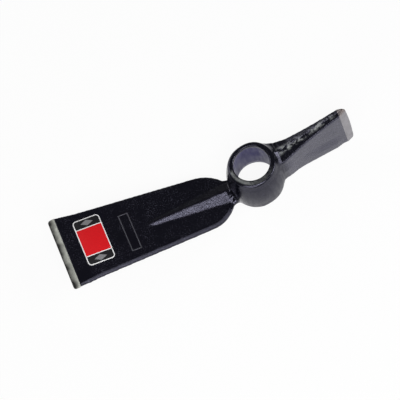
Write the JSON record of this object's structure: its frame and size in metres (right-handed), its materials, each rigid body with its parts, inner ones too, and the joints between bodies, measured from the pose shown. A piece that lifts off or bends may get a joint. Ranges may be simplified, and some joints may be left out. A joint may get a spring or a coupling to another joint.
{
  "type": "mattock head",
  "caption": "Drop-forged cutter mattock head: a flared round eye for a handle, with a broad hoe blade on one side and an axe blade on the other.",
  "frame": {"origin": "on the eye's axis, half way up the eye", "axes": "+Z along the eye's axis, towards the hands; +X towards the axe, so the hoe reaches along -X"},
  "size_m": [0.3276, 0.0836, 0.0648],
  "materials": {
    "black_paint": "glossy black enamel over a rough forging",
    "ground_steel": "ground bare steel under clear lacquer",
    "sticker": "glossy printed film in red, white and grey"
  },
  "bodies": {
    "root": {"eye_ring": "black_paint", "hoe_blade": "black_paint", "hoe_rib": "black_paint", "hoe_edge": "ground_steel", "axe_blade": "black_paint", "axe_edge": "ground_steel", "stamp_frame": "black_paint", "label": "sticker"}
  },
  "joints": []
}
